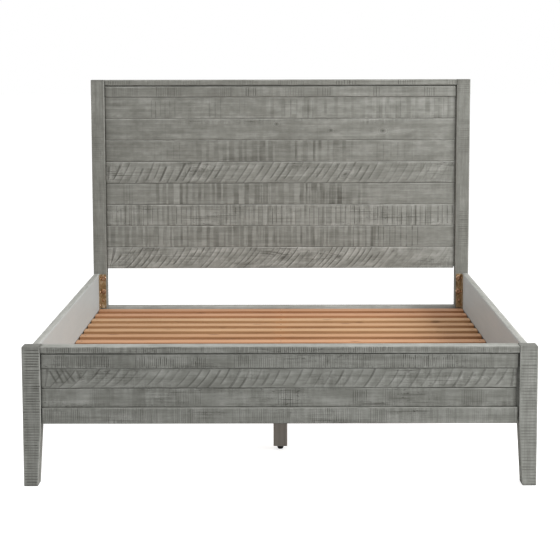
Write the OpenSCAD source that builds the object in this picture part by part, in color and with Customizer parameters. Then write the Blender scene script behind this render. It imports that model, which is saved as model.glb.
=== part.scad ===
// Wooden bed frame: a plank headboard, a low footboard, two side rails and a slatted
// base on a centre beam. Millimetres, +Z up, with the foot of the bed towards -Y and
// the origin on the floor under the middle. Left and right are as seen from the foot.

/* [Overall] */
// Width over the posts
bed_w = 1635; // [1450:5:1900]
// Length from the front of the footboard to the back of the headboard
bed_l = 2170; // [2120:5:2300]
// Width of every corner post
post_w = 58; // [56:1:70]
// Size of the eased edges along the boards
ease = 1.5; // [0.5:0.5:2.5]

/* [Headboard] */
// Height of the headboard
head_h = 1264; // [1180:1:1400]
// Depth of a headboard post
head_post_d = 60; // [56:1:80]
// Height of the cap
cap_h = 24; // [20:1:35]
// Open shadow line under the cap
cap_reveal = 5; // [2:1:8]
// Height of the rail under the cap
head_rail_h = 45; // [35:1:60]
// Height of one plank
plank_h = 93; // [85:1:100]
// Thickness of every plank
plank_t = 18; // [16:1:18]
// Height of the top of the lower rail
lower_rail_top = 283; // [275:1:320]
// Height of the lower rail
lower_rail_h = 90; // [85:1:120]

/* [Footboard] */
// Height of the footboard
foot_h = 451; // [450:1:520]
// Depth of a footboard post
foot_post_d = 66; // [62:1:80]
// Width of a footboard post where it meets the floor
foot_toe_w = 45; // [38:1:55]
// Height of the top rail
foot_cap_h = 22; // [20:1:30]
// Open shadow line under the top rail
foot_reveal = 3; // [2:1:6]
// Height of the rail under the top rail
foot_rail_h = 46; // [40:1:46]
// Height of the upper plank
foot_plank_upper_h = 64; // [55:1:64]
// Height of the lower plank
foot_plank_lower_h = 62; // [55:1:62]
// Height of the bottom rail
foot_bottom_h = 52; // [50:1:52]

/* [Side rails and slats] */
// Height of the top of the side rails
rail_top = 424; // [424:1:440]
// Height of a side rail
rail_h = 220; // [210:1:230]
// Thickness of a side rail
rail_t = 25; // [22:1:26]
// How far a side rail sits inside the posts' outer faces
rail_inset = 2; // [1:1:4]
// Height of the slats' top faces, where the mattress rests
slat_top = 272; // [268:1:276]
// Width of a slat
slat_w = 68; // [60:1:90]
// Thickness of a slat
slat_t = 18; // [16:1:20]
// Distance from one slat to the next
slat_pitch = 139.5; // [120:0.5:140]
// Gap between the last slat and the headboard posts
slat_head_gap = 27; // [24:1:60]
// Gap between a slat's end and the side rail
slat_end_gap = 2; // [2:1:8]
// Width and height of the ledge that carries the slats' ends
ledge_w = 30; // [26:1:35]

/* [Centre support] */
// Width of the centre beam
beam_w = 48; // [44:1:60]
// Height of the centre beam
beam_h = 50; // [46:1:50]
// Distance between the two centre legs
leg_spread = 1096; // [800:1:1300]
// Width of a square centre leg
leg_w = 48; // [44:1:60]
// Height of a levelling foot, screwed right in
foot_pad_h = 14; // [12:1:16]
// Radius of a levelling foot
foot_pad_r = 11; // [11:0.5:14]

/* [Hidden] */
SLAT_N = 14;
PLANK_N = 8;
function numbered(stem, i) = str(stem, i < 10 ? "0" : "", i);
function plank_name(i) = str("headboard_plank_", i);

LEFT = -1;
RIGHT = 1;
FOOT = -1;
HEAD = 1;

// Clearances: around a fixed joint, around a screw, and around the turning stem
loose = 0.3;
snug = 0.05;
running = 0.06;
// How far a cutting shape runs past the face it opens
past = 1;

// Facing planes of the frame
foot_front = -bed_l / 2;
foot_face = foot_front + foot_post_d;
head_front = bed_l / 2 - head_post_d;
inner_mid = (foot_face + head_front) / 2;
post_in = bed_w / 2 - post_w;
rail_out = bed_w / 2 - rail_inset;
rail_in = rail_out - rail_t;

// Stub tenons: each board's tongue sits in the groove of its neighbours and of the posts
tongue_t = 8;
tongue_l = 11;
edge_tongue_h = 6;

// Headboard levels, and depths behind the posts' front faces
cap_z = head_h - cap_h;
head_rail_z = cap_z - cap_reveal - head_rail_h;
panel_z = head_rail_z - PLANK_N * plank_h;
lower_rail_z = lower_rail_top - lower_rail_h;
cap_set_in = 4;
cap_d = head_post_d - cap_set_in;
head_tongue_back = 17;
head_tongue_y = head_front + head_tongue_back;
head_rail_back = 4;
head_rail_t = 26;
plank_back = 8;
batten_w = 60;
batten_t = 20;
batten_x = 350;
batten_end = 10;

// Footboard levels, and depths behind the posts' front faces
foot_cap_z = foot_h - foot_cap_h;
foot_rail_z = foot_cap_z - foot_reveal - foot_rail_h;
foot_upper_z = foot_rail_z - foot_plank_upper_h;
foot_lower_z = foot_upper_z - foot_plank_lower_h;
foot_bottom_z = foot_lower_z - foot_bottom_h;
foot_tongue_back = 20;
foot_tongue_y = foot_front + foot_tongue_back;
foot_cap_set_in = 6;
foot_cap_d = foot_post_d - foot_cap_set_in;
foot_rail_back = 6;
foot_rail_t = 28;
foot_upper_back = 10;
foot_lower_back = 12;
foot_bottom_back = 4;
foot_bottom_t = 32;
foot_toe_chamfer = 5;

// Gap that each board's face leaves at the posts
cap_gap = 1;
rail_gap = 4;
plank_gap = 7;
foot_upper_gap = 6;

// Slats, ledges and their screws
slat_half = rail_in - slat_end_gap;
slat_z = slat_top - slat_t;
ledge_z = slat_z - ledge_w;
ledge_end_gap = 2;
slat_screw_in = 19;
slat_screw_x = slat_half - slat_screw_in;
screw_sunk = 0.3;
ledge_screw_n = 8;
ledge_screw_up = 8;
ledge_screw_z = ledge_z + ledge_screw_up;
ledge_bore_r = 4.5;
ledge_bore_l = 12;
beam_z = slat_z - beam_h;

// Countersunk wood screw
csk_l = 30;
csk_head_r = 4;
csk_head_h = 2.2;
csk_r = 2;
screw_tip_l = 5;
screw_tip_r = 0.4;

// Pan head screw
pan_l = 16;
pan_head_r = 5;
pan_head_h = 3;
pan_dome_r = 1.5;
pan_r = 2.25;

// Corner bracket, measured from the corner between a post and a side rail
plate_t = 3;
bracket_z = slat_top + 1;
bracket_top = 421;
post_leg = 27;
rail_leg = 40;
bolt_zs = [404, 346];
bolt_x = 17;
post_screw_x = 14;
post_screw_z = 307;
rail_screw_y = 26;
rail_screw_zs = [404, 346, 289];

// Bracket bolt and the threaded insert that it screws into
bolt_r = 4;
bolt_head_r = 11;
bolt_head_h = 5;
bolt_dome_r = 3;
bolt_tip = 1;
bolt_l = 34;
hex_key = 5;
hex_deep = 3;
insert_r = 7;
insert_l = 25;
bolt_hole_l = 38;

// Beam hanger, measured from the rail it is screwed to
hanger_w = 96;
hanger_h = 49;
seat_l = 45;
cheek_h = 36;
hanger_screw_x = 38;
hanger_screw_z = 24;
cheek_screw_y = 26;

// Hanger bolt between a centre leg and the beam
stud_r = 4;
stud_half = 30;

// Levelling foot: an M8 stem that turns in a nut and swivels in a domed foot
stem_r = 4;
stem_l = 32;
stem_head_r = 6;
stem_head_h = 2.5;
stem_head_z = 4;
nut_flange_r = 10;
nut_flange_t = 1.5;
nut_barrel_r = 5.2;
nut_barrel_l = 11;
stem_well_l = 36;
pad_toe_r = 5;
pad_round_h = 8;

// Eased edges of the centre legs
leg_ease = 2;

// ---------- shared shapes ----------

// A rectangle from p to q with its corners cut off
module eased_rect(p, q, c = ease) {
  polygon([
    [p[0] + c, p[1]], [q[0] - c, p[1]], [q[0], p[1] + c], [q[0], q[1] - c],
    [q[0] - c, q[1]], [p[0] + c, q[1]], [p[0], q[1] - c], [p[0], p[1] + c]
  ]);
}

// Boards with eased long edges, running along X, Y or Z
module board_x(xs, ys, zs, c = ease)
  translate([xs[0], 0, 0]) rotate([90, 0, 90]) linear_extrude(xs[1] - xs[0])
    eased_rect([ys[0], zs[0]], [ys[1], zs[1]], c);

module board_y(xs, ys, zs, c = ease)
  translate([0, ys[1], 0]) rotate([90, 0, 0]) linear_extrude(ys[1] - ys[0])
    eased_rect([xs[0], zs[0]], [xs[1], zs[1]], c);

module board_z(xs, ys, zs, c = ease)
  translate([0, 0, zs[0]]) linear_extrude(zs[1] - zs[0])
    eased_rect([xs[0], ys[0]], [xs[1], ys[1]], c);

// A plain block between two levels on each axis
module block(xs, ys, zs)
  translate([xs[0], ys[0], zs[0]])
    cube([xs[1] - xs[0], ys[1] - ys[0], zs[1] - zs[0]]);

// A rod or a hole along Z between two levels
module rod(r, zs, fn = 32) translate([0, 0, zs[0]]) cylinder(h = zs[1] - zs[0], r = r, $fn = fn);

// Draws its children on the right side, or mirrored on the left
module on_side(side) mirror([side < 0 ? 1 : 0, 0, 0]) children();

// Turns children that lie along -Z so that they lie along -X, -Y or +Y
module along_minus_x() rotate([0, 90, 0]) children();
module along_minus_y() rotate([-90, 0, 0]) children();
module along_plus_x() rotate([0, -90, 0]) children();

// The rounded outer edge of a head of radius r and height h, in steps of 15 degrees
function quarter_round(r, h, round_r) =
  [for (a = [0 : 15 : 90]) [r - round_r + round_r * cos(a), h - round_r + round_r * sin(a)]];

// ---------- fasteners, heads up at the origin and shanks along -Z ----------

module countersunk(grow = 0) {
  tip = csk_l - screw_tip_l;
  rotate_extrude($fn = 32) polygon([
    [0, 0], [csk_head_r + grow, 0], [csk_r + grow, -csk_head_h],
    [csk_r + grow, -tip], [screw_tip_r + grow, -csk_l - grow], [0, -csk_l - grow]
  ]);
}

// The hole for a countersunk screw, open above its head
module countersunk_hole() {
  countersunk(snug);
  rod(csk_head_r + snug, [0, past]);
}

module pan_head() {
  dome = quarter_round(pan_head_r, pan_head_h, pan_dome_r);
  rotate_extrude($fn = 32) polygon(concat(
    [[0, -pan_l], [screw_tip_r, -pan_l], [pan_r, -pan_l + screw_tip_l], [pan_r, 0], [pan_head_r, 0]],
    dome,
    [[0, pan_head_h]]
  ));
}

module pan_head_hole() {
  tip = pan_l - screw_tip_l;
  rod(pan_r + snug, [-tip, past]);
  translate([0, 0, -pan_l - snug])
    cylinder(h = screw_tip_l + snug, r1 = screw_tip_r + snug, r2 = pan_r + snug, $fn = 32);
}

// A round-headed bolt with a hexagon socket
module bolt() {
  dome = quarter_round(bolt_head_r, bolt_head_h, bolt_dome_r);
  shank = [[0, -bolt_l], [bolt_r - bolt_tip, -bolt_l], [bolt_r, -bolt_l + bolt_tip], [bolt_r, 0]];
  difference() {
    rotate_extrude($fn = 48) polygon(concat(shank, [[bolt_head_r, 0]], dome, [[0, bolt_head_h]]));
    translate([0, 0, bolt_head_h - hex_deep])
      cylinder(h = hex_deep + past, r = hex_key / 2 / cos(30), $fn = 6);
  }
}

// ---------- where the hardware goes ----------

// A corner's own frame: x runs in from the side rail, y runs along it from the post
module at_corner(side, end)
  translate([side * rail_in, end > 0 ? head_front : foot_face, 0])
    mirror([side > 0 ? 1 : 0, 0, 0])
      mirror([0, end > 0 ? 1 : 0, 0])
        children();

module at_bracket_bolts()
  for (z = bolt_zs) translate([bolt_x, plate_t, z]) along_minus_y() children();

module at_post_screw() translate([post_screw_x, plate_t, post_screw_z]) along_minus_y() children();

module at_rail_screws()
  for (z = rail_screw_zs) translate([plate_t, rail_screw_y, z]) along_minus_x() children();

module at_corners() for (side = [LEFT, RIGHT], end = [FOOT, HEAD]) at_corner(side, end) children();

function slat_y(i) = head_front - slat_head_gap - slat_w / 2 - (SLAT_N - i) * slat_pitch;

module at_slat_screws(i)
  for (x = [-slat_screw_x, 0, slat_screw_x])
    translate([x, slat_y(i), slat_top - screw_sunk]) children();

// The ledge screws of the right side rail, sunk in deep counterbores
module at_ledge_screws() {
  run = head_front - foot_face;
  for (k = [0 : ledge_screw_n - 1])
    translate([rail_in - ledge_w + ledge_bore_l, foot_face + run * (k + 0.5) / ledge_screw_n, ledge_screw_z])
      along_plus_x() children();
}

module at_batten_screws() {
  back = head_front + plank_back + plank_t + batten_t;
  for (i = [1 : PLANK_N])
    translate([batten_x, back - screw_sunk, panel_z + (i - 0.5) * plank_h]) along_minus_y() children();
}

// A hanger's own frame: y runs from the rail towards the middle of the bed
function hanger_y(end) =
  end > 0 ? head_front + head_rail_back : foot_front + foot_bottom_back + foot_bottom_t;

module at_hanger(end)
  translate([0, hanger_y(end), beam_z - plate_t]) mirror([0, end > 0 ? 1 : 0, 0]) children();

module at_hanger_screws() {
  for (x = [-hanger_screw_x, hanger_screw_x])
    translate([x, plate_t, hanger_screw_z]) along_minus_y() children();
  for (side = [LEFT, RIGHT])
    on_side(side) translate([beam_w / 2 + plate_t, cheek_screw_y, hanger_screw_z]) along_minus_x() children();
}

function leg_y(end) = inner_mid + end * leg_spread / 2;

module at_leg(end) translate([0, leg_y(end), 0]) children();

// ---------- headboard ----------

// The bolt holes with their inserts' pockets, and the screw hole, in a post's face
module bracket_holes() {
  translate([0, -plate_t, 0]) at_bracket_bolts() {
    rod(insert_r + snug, [-insert_l, past]);
    rod(bolt_r + snug, [-bolt_hole_l, 0]);
  }
  at_post_screw() pan_head_hole();
}

module headboard_post(side) color("#85837e") on_side(side) difference() {
  board_z([post_in, bed_w / 2], [head_front, bed_l / 2], [0, head_h]);
  panel_groove(head_tongue_y, [panel_z, head_h - ease - edge_tongue_h]);
  panel_groove(head_tongue_y, [lower_rail_z + edge_tongue_h, lower_rail_top - edge_tongue_h]);
  at_corner(RIGHT, HEAD) bracket_holes();
}

// The groove in a post's inner face that takes the ends of the boards
module panel_groove(y, zs)
  block([post_in - past, post_in + tongue_l + loose], [y - tongue_t / 2, y + tongue_t / 2], zs);

// A board's tongue between two levels, which runs on into the posts' grooves at both ends
module tongue(y, zs)
  block([-post_in - tongue_l, post_in + tongue_l], [y - tongue_t / 2 + snug, y + tongue_t / 2 - snug], zs);

// The groove under a board that takes the tongue of the board below
module edge_groove(y, z) {
  half = post_in + tongue_l + past;
  block([-half, half], [y - tongue_t / 2, y + tongue_t / 2], [z - past, z + edge_tongue_h + loose]);
}

module headboard_cap() color("#85837e") difference() {
  half = post_in - cap_gap;
  union() {
    board_x([-half, half], [head_front, head_front + cap_d], [cap_z, head_h]);
    tongue(head_tongue_y, [cap_z + ease, head_h - ease - edge_tongue_h - snug]);
  }
  edge_groove(head_tongue_y, cap_z);
}

module headboard_upper_rail() color("#85837e") difference() {
  half = post_in - rail_gap;
  top = head_rail_z + head_rail_h;
  front = head_front + head_rail_back;
  union() {
    board_x([-half, half], [front, front + head_rail_t], [head_rail_z, top]);
    tongue(head_tongue_y, [head_rail_z + ease, top + cap_reveal + edge_tongue_h]);
  }
  edge_groove(head_tongue_y, head_rail_z);
}

// Planks are counted from the top
module headboard_plank(i) color("#7d7c77") difference() {
  half = post_in - plank_gap;
  bottom = head_rail_z - i * plank_h;
  front = head_front + plank_back;
  union() {
    board_x([-half, half], [front, front + plank_t], [bottom + snug, bottom + plank_h - snug]);
    tongue(head_tongue_y, [bottom + ease, bottom + plank_h + edge_tongue_h]);
  }
  if (i < PLANK_N) edge_groove(head_tongue_y, bottom);
  for (side = [LEFT, RIGHT]) on_side(side) at_batten_screws() countersunk_hole();
}

module headboard_lower_rail() color("#85837e") difference() {
  front = head_front + head_rail_back;
  union() {
    board_x([-post_in, post_in], [front, front + head_rail_t], [lower_rail_z, lower_rail_top]);
    tongue(head_tongue_y, [lower_rail_z + edge_tongue_h + snug, lower_rail_top - edge_tongue_h - snug]);
  }
  at_hanger(HEAD) at_hanger_screws() pan_head_hole();
}

module headboard_batten(side) color("#85837e") on_side(side) difference() {
  back = head_front + plank_back + plank_t;
  board_z([batten_x - batten_w / 2, batten_x + batten_w / 2], [back, back + batten_t],
          [panel_z + batten_end, head_rail_z - batten_end]);
  at_batten_screws() countersunk_hole();
}

// ---------- footboard ----------

// The front view of a right-hand post: its inner edge tapers below the bottom rail
module foot_post_outline() {
  out = bed_w / 2;
  toe = foot_toe_chamfer;
  polygon([
    [out - foot_toe_w + toe, 0], [out - toe, 0], [out, toe], [out, foot_h - ease], [out - ease, foot_h],
    [post_in + ease, foot_h], [post_in, foot_h - ease], [post_in, foot_bottom_z], [out - foot_toe_w, toe]
  ]);
}

module footboard_post(side) color("#85837e") on_side(side) difference() {
  intersection() {
    translate([0, foot_face, 0]) rotate([90, 0, 0]) linear_extrude(foot_post_d) foot_post_outline();
    board_z([post_in - past, bed_w / 2], [foot_front, foot_face], [0, foot_h]);
  }
  panel_groove(foot_tongue_y, [foot_bottom_z + ease, foot_h - ease - edge_tongue_h]);
  at_corner(RIGHT, FOOT) bracket_holes();
}

module footboard_top_rail() color("#85837e") difference() {
  half = post_in - cap_gap;
  union() {
    board_x([-half, half], [foot_front, foot_front + foot_cap_d], [foot_cap_z, foot_h]);
    tongue(foot_tongue_y, [foot_cap_z + ease, foot_h - ease - edge_tongue_h - snug]);
  }
  edge_groove(foot_tongue_y, foot_cap_z);
}

module footboard_upper_rail() color("#85837e") difference() {
  half = post_in - rail_gap;
  top = foot_rail_z + foot_rail_h;
  front = foot_front + foot_rail_back;
  union() {
    board_x([-half, half], [front, front + foot_rail_t], [foot_rail_z, top]);
    tongue(foot_tongue_y, [foot_rail_z + ease, top + foot_reveal + edge_tongue_h]);
  }
  edge_groove(foot_tongue_y, foot_rail_z);
}

module footboard_plank(back, z, h, gap) color("#7d7c77") difference() {
  half = post_in - gap;
  front = foot_front + back;
  union() {
    board_x([-half, half], [front, front + plank_t], [z + snug, z + h - snug]);
    tongue(foot_tongue_y, [z + ease, z + h + edge_tongue_h]);
  }
  edge_groove(foot_tongue_y, z);
}

module footboard_bottom_rail() color("#85837e") difference() {
  half = post_in - rail_gap;
  front = foot_front + foot_bottom_back;
  top = foot_bottom_z + foot_bottom_h;
  union() {
    board_x([-half, half], [front, front + foot_bottom_t], [foot_bottom_z, top]);
    tongue(foot_tongue_y, [foot_bottom_z + ease + snug, top + edge_tongue_h]);
  }
  at_hanger(FOOT) at_hanger_screws() pan_head_hole();
}

// ---------- side rails, ledges and slats ----------

module side_rail(side) color("#a9a8a3") on_side(side) difference() {
  board_y([rail_in, rail_out], [foot_face, head_front], [rail_top - rail_h, rail_top]);
  for (end = [FOOT, HEAD]) at_corner(RIGHT, end) at_rail_screws() pan_head_hole();
  at_ledge_screws() countersunk_hole();
}

module slat_ledge(side) color("#c79a6b") on_side(side) difference() {
  ends = [foot_face + ledge_end_gap, head_front - ledge_end_gap];
  board_y([rail_in - ledge_w, rail_in], ends, [ledge_z, slat_z]);
  at_ledge_screws() countersunk_hole();
  at_ledge_screws() rod(ledge_bore_r, [0, ledge_bore_l + past]);
  for (i = [1 : SLAT_N]) at_slat_screws(i) countersunk_hole();
}

// Slats are counted from the foot of the bed
module slat(i) color("#c79a6b") difference() {
  board_x([-slat_half, slat_half], [slat_y(i) - slat_w / 2, slat_y(i) + slat_w / 2], [slat_z, slat_top]);
  at_slat_screws(i) countersunk_hole();
}

// ---------- centre support ----------

module centre_beam() color("#c79a6b") difference() {
  board_y([-beam_w / 2, beam_w / 2], [hanger_y(FOOT) + plate_t, hanger_y(HEAD) - plate_t], [beam_z, slat_z]);
  for (i = [1 : SLAT_N]) at_slat_screws(i) countersunk_hole();
  for (end = [FOOT, HEAD]) {
    at_hanger(end) at_hanger_screws() pan_head_hole();
    at_leg(end) rod(stud_r + snug, [beam_z - past, beam_z + stud_half + snug]);
  }
}

module beam_hanger(end) color("#b08d3c") at_hanger(end) difference() {
  cheek_x = beam_w / 2 + plate_t;
  union() {
    block([-hanger_w / 2, hanger_w / 2], [0, plate_t], [0, hanger_h]);
    block([-cheek_x, cheek_x], [0, seat_l], [0, plate_t]);
    for (side = [LEFT, RIGHT]) on_side(side) block([beam_w / 2, cheek_x], [0, seat_l], [0, cheek_h]);
  }
  at_hanger_screws() pan_head_hole();
}

module centre_leg(end) color("#6b6761") at_leg(end) difference() {
  half = leg_w / 2;
  board_z([-half, half], [-half, half], [foot_pad_h, beam_z], leg_ease);
  rod(nut_flange_r + snug, [foot_pad_h - past, foot_pad_h + nut_flange_t], 48);
  rod(nut_barrel_r + snug, [foot_pad_h, foot_pad_h + nut_flange_t + nut_barrel_l + snug], 48);
  rod(stem_r + loose, [foot_pad_h, foot_pad_h + stem_well_l], 48);
  rod(stud_r + snug, [beam_z - stud_half - snug, beam_z + past]);
}

module leg_hanger_bolts() color("#9a9a9c")
  for (end = [FOOT, HEAD])
    at_leg(end) rod(stud_r, [beam_z - stud_half, beam_z + stud_half]);

module leveller_nuts() color("#9a9a9c")
  for (end = [FOOT, HEAD]) at_leg(end) translate([0, 0, foot_pad_h]) difference() {
    union() {
      rod(nut_flange_r, [0, nut_flange_t], 48);
      rod(nut_barrel_r, [0, nut_flange_t + nut_barrel_l], 48);
    }
    rod(stem_r + running, [-past, nut_flange_t + nut_barrel_l + past], 48);
  }

// A domed foot with a flat toe, hollow where the stem's head is held and can turn
module leveller_foot(end) color("#1c1c1c") at_leg(end) rotate_extrude($fn = 64) {
  top = foot_pad_h - loose;
  round_r = foot_pad_r - pad_toe_r;
  dome = [for (a = [0 : 10 : 80]) [pad_toe_r + round_r * cos(a), pad_round_h * (1 - sin(a))]];
  polygon(concat(
    [[stem_r + running, top], [foot_pad_r, top]],
    dome,
    [[pad_toe_r, 0], [0, 0], [0, stem_head_z - snug], [stem_head_r + running, stem_head_z - snug]],
    [[stem_head_r + running, stem_head_z + stem_head_h + snug]],
    [[stem_r + running, stem_head_z + stem_head_h + snug]]
  ));
}

module leveller_stem(end) color("#9a9a9c") at_leg(end) {
  rod(stem_head_r, [stem_head_z, stem_head_z + stem_head_h], 48);
  rod(stem_r, [stem_head_z, foot_pad_h + stem_l], 48);
}

// ---------- brackets and screws ----------

module corner_bracket(side, end) color("#b08d3c") at_corner(side, end) difference() {
  union() {
    block([0, post_leg], [0, plate_t], [bracket_z, bracket_top]);
    block([0, plate_t], [0, rail_leg], [bracket_z, bracket_top]);
  }
  at_bracket_bolts() rod(bolt_r + snug, [-plate_t - past, past]);
  at_post_screw() pan_head_hole();
  at_rail_screws() pan_head_hole();
}

module bracket_bolts() color("#c09a45") at_corners() at_bracket_bolts() bolt();

module bolt_inserts() color("#c09a45") at_corners()
  translate([0, -plate_t, 0]) at_bracket_bolts() translate([0, 0, -insert_l]) difference() {
    rod(insert_r, [0, insert_l]);
    rod(bolt_r + snug, [-past, insert_l + past]);
  }

module pan_head_screws() color("#c09a45") {
  at_corners() at_post_screw() pan_head();
  at_corners() at_rail_screws() pan_head();
  for (end = [FOOT, HEAD]) at_hanger(end) at_hanger_screws() pan_head();
}

module countersunk_screws() color("#c09a45") {
  for (i = [1 : SLAT_N]) at_slat_screws(i) countersunk();
  for (side = [LEFT, RIGHT]) on_side(side) {
    at_ledge_screws() countersunk();
    at_batten_screws() countersunk();
  }
}

headboard_post(LEFT);  // headboard_post_left
headboard_post(RIGHT);  // headboard_post_right
headboard_cap();
headboard_upper_rail();
for (i = [1 : PLANK_N]) headboard_plank(i);
headboard_lower_rail();
headboard_batten(LEFT);  // headboard_batten_left
headboard_batten(RIGHT);  // headboard_batten_right
footboard_post(LEFT);  // footboard_post_left
footboard_post(RIGHT);  // footboard_post_right
footboard_top_rail();
footboard_upper_rail();
footboard_plank(foot_upper_back, foot_upper_z, foot_plank_upper_h, foot_upper_gap);  // footboard_plank_upper
footboard_plank(foot_lower_back, foot_lower_z, foot_plank_lower_h, plank_gap);  // footboard_plank_lower
footboard_bottom_rail();
side_rail(LEFT);  // side_rail_left
side_rail(RIGHT);  // side_rail_right
slat_ledge(LEFT);  // slat_ledge_left
slat_ledge(RIGHT);  // slat_ledge_right
for (i = [1 : SLAT_N]) slat(i);
centre_beam();
beam_hanger(HEAD);  // beam_hanger_head
beam_hanger(FOOT);  // beam_hanger_foot
centre_leg(FOOT);  // centre_leg_front
centre_leg(HEAD);  // centre_leg_rear
leg_hanger_bolts();
leveller_nuts();
leveller_foot(FOOT);  // leveller_foot_front
leveller_foot(HEAD);  // leveller_foot_rear
leveller_stem(FOOT);  // leveller_stem_front
leveller_stem(HEAD);  // leveller_stem_rear
corner_bracket(LEFT, HEAD);  // corner_bracket_head_left
corner_bracket(RIGHT, HEAD);  // corner_bracket_head_right
corner_bracket(LEFT, FOOT);  // corner_bracket_foot_left
corner_bracket(RIGHT, FOOT);  // corner_bracket_foot_right
bracket_bolts();
bolt_inserts();
pan_head_screws();
countersunk_screws();
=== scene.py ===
"""The looks of a wooden bed frame: rough-sawn grey boards, pine slats and yellow zinc hardware.

Metres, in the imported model's frame: +Z up, the foot of the bed towards -Y, right is +X.
The boards, posts and side rails are rebuilt here with saw marks cut into their meshes;
everything else stays as it is packed, and gets its material.
"""

import math

import bmesh
import bpy
import numpy as np
from mathutils import Euler, Matrix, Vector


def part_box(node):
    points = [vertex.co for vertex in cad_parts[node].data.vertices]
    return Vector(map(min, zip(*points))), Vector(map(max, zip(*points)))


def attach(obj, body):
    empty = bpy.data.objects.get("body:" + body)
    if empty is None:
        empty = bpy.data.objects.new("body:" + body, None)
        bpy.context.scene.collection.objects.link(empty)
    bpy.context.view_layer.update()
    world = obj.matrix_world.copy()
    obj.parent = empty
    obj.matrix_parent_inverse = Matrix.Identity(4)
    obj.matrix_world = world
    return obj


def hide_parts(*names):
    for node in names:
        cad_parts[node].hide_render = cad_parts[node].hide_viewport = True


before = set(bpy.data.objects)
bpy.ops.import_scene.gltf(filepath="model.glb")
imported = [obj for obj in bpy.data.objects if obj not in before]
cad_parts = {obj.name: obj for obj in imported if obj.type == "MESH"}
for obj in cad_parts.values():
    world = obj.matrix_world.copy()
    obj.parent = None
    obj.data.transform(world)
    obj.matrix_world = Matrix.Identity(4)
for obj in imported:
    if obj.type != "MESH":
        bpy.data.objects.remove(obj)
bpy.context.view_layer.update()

MM = 0.001
BODY = "frame"

# Sides of a board's section, in the order that the section goes round
FRONT, TOP, BACK, BOTTOM, JOINT = range(5)


# ---------- materials ----------

# The darkest grey: grime in flecks, knots and kerfs, and painted shade in the kerfs, the seams and at the
# boards' ends
GREY_GRIME_AND_SHADE = (0.042, 0.040, 0.033)
GREY_DARK = (0.086, 0.084, 0.073)
GREY_MIDDLE = (0.176, 0.178, 0.160)
GREY_LIGHT = (0.249, 0.252, 0.231)
GREY_BARE = (0.400, 0.398, 0.372)
PINE_KNOT = (0.105, 0.045, 0.018)
PAINT_TONES = ((0.330, 0.342, 0.335), (0.405, 0.422, 0.416))
# Painted shade for the side rails' paint below the slats' tops
PAINT_SLOT_SHADE = (0.045, 0.036, 0.030)
STAIN_TONES = ((0.190, 0.174, 0.152), (0.330, 0.306, 0.272))
PLASTIC_TONES = ((0.010, 0.010, 0.010), (0.030, 0.029, 0.027))

# Dark, middle and light
PINE_TONES = ((0.27, 0.140, 0.072), (0.45, 0.260, 0.148), (0.60, 0.385, 0.240))
SUPPORT_TONES = ((0.28, 0.150, 0.078), (0.40, 0.240, 0.135), (0.50, 0.320, 0.195))
# The brackets' light tone is partly the yellow zinc's own mottling and partly painted reflection
BRACKET_TONES = ((0.105, 0.066, 0.026), (0.340, 0.232, 0.118), (0.640, 0.560, 0.430))
BOLT_TONES = ((0.150, 0.080, 0.042), (0.480, 0.290, 0.180), (0.860, 0.640, 0.460))
ZINC_TONES = ((0.36, 0.37, 0.39), (0.47, 0.48, 0.50), (0.58, 0.59, 0.60))

# How far one seed moves a piece through the noise
SEED_STEP = (17.3, 9.1, 5.7)
SLAT_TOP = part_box("slat_01")[1][2]


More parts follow.
